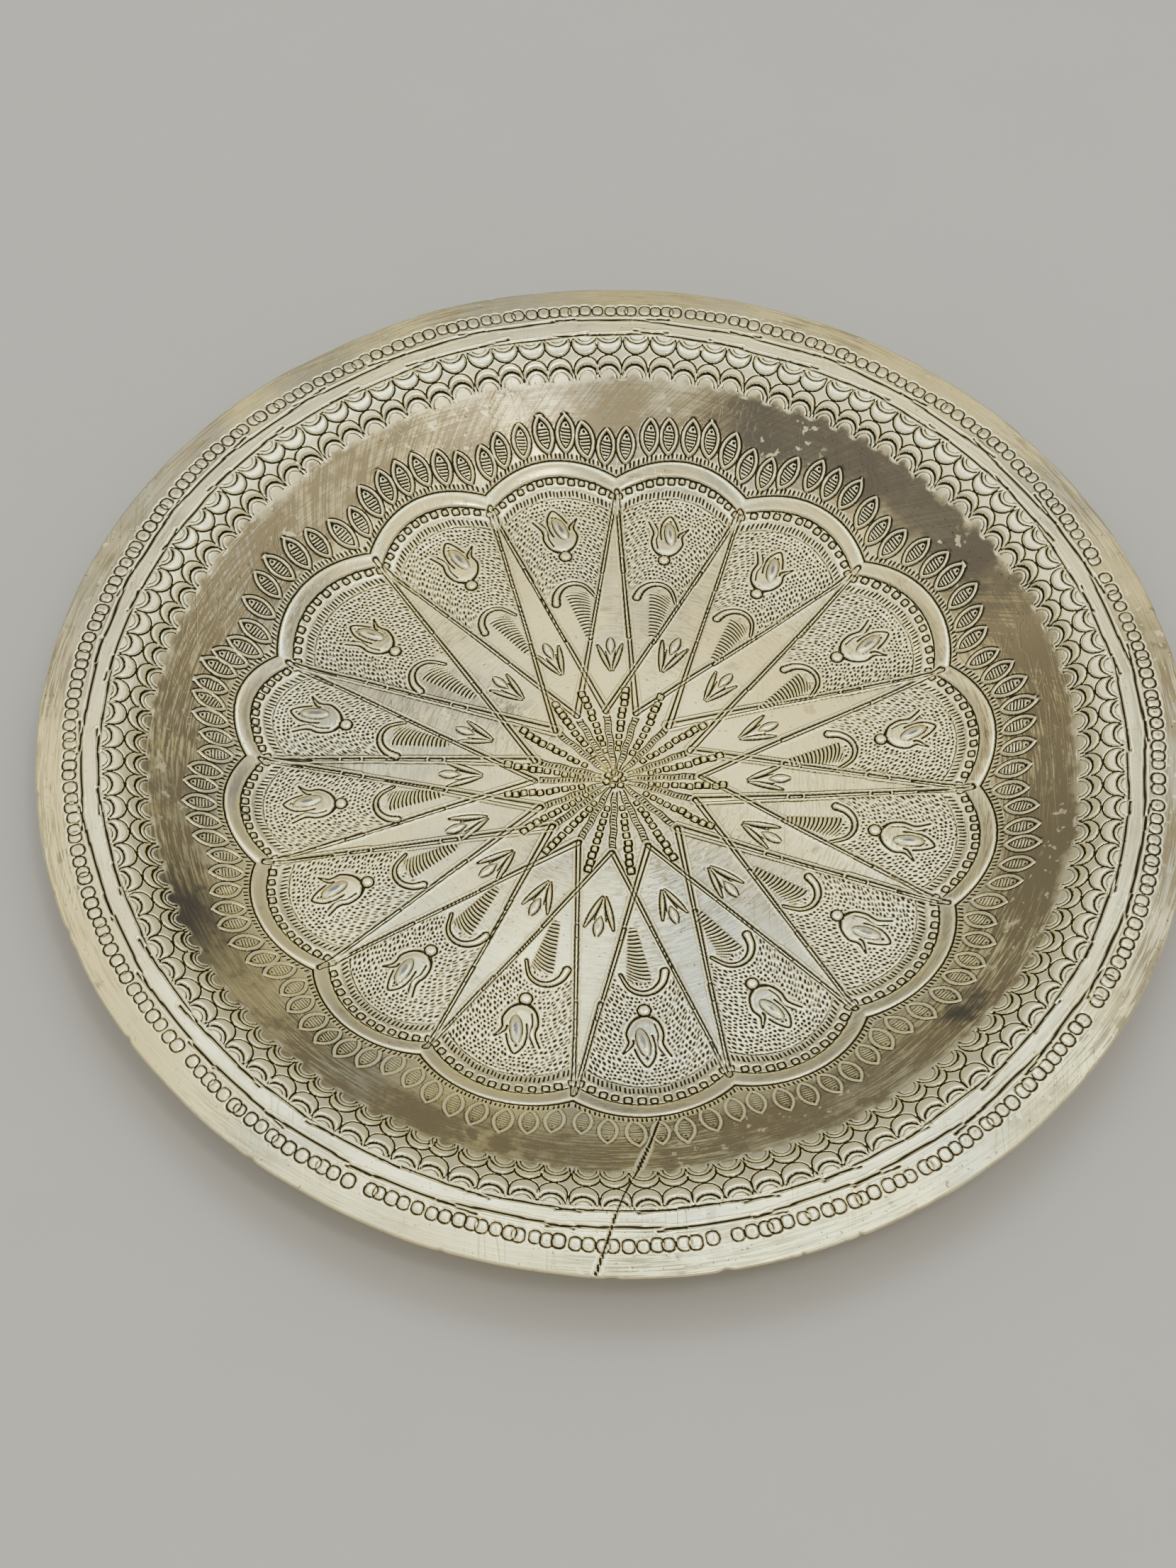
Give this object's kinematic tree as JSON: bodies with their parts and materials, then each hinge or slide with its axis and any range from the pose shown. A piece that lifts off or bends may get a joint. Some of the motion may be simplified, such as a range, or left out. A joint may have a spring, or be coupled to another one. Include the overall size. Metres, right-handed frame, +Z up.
{
  "type": "round brass tray",
  "caption": "Round tray of one brass sheet with a flat well floor, a sloping wall and a near-flat brim, chased with a star, tulips, lobed border, leaf ring, crescents and ring punches.",
  "frame": {"origin": "centre of the flat underside of the well, on the surface that the tray stands on", "axes": "+Z up out of the well along the axis of revolution; +X and +Y lie in the underside and are equivalent, as the sheet is round"},
  "size_m": [0.23, 0.23, 0.0154],
  "materials": {
    "brass": "aged, pale yellow brass, satin, with darker tarnish in the chasing and on the wall"
  },
  "bodies": {
    "root": {"tray": "brass"}
  },
  "joints": []
}
